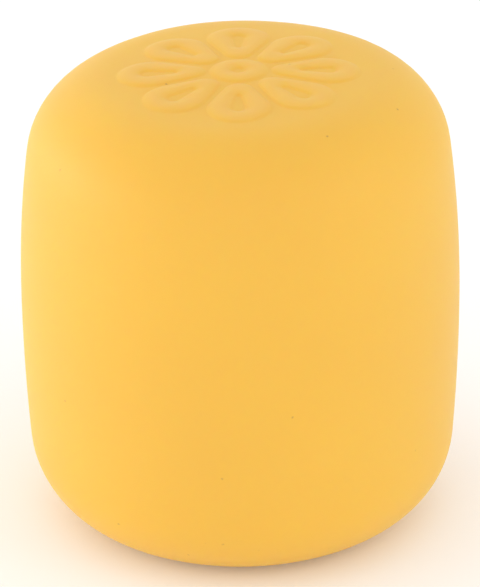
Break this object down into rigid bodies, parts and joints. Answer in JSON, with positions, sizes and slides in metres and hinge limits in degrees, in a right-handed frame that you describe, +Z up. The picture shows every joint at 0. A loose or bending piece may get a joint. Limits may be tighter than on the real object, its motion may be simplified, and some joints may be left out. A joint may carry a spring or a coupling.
{
  "type": "stress ball",
  "caption": "Hand-sized squeeze toy: a tall, softly rounded barrel of matte yellow-orange rubber filled with soft dough, with a raised rosette on its crown and a bonded plug in its base.",
  "frame": {"origin": "centre of the flat base, on the surface that the toy stands on", "axes": "+Z up along the toy's axis of revolution, from the flat base to the crown with the raised rosette; +X and +Y are any two level directions, and one ray of the rosette points along +X"},
  "size_m": [0.064, 0.064, 0.0693],
  "materials": {
    "skin_rubber": "satin",
    "plug_rubber": "satin",
    "clear_glue": "gloss",
    "dough": "matte"
  },
  "bodies": {
    "root": {"skin": "skin_rubber", "filler_plug": "plug_rubber", "plug_glue": "clear_glue", "dough_filling": "dough"}
  },
  "joints": []
}
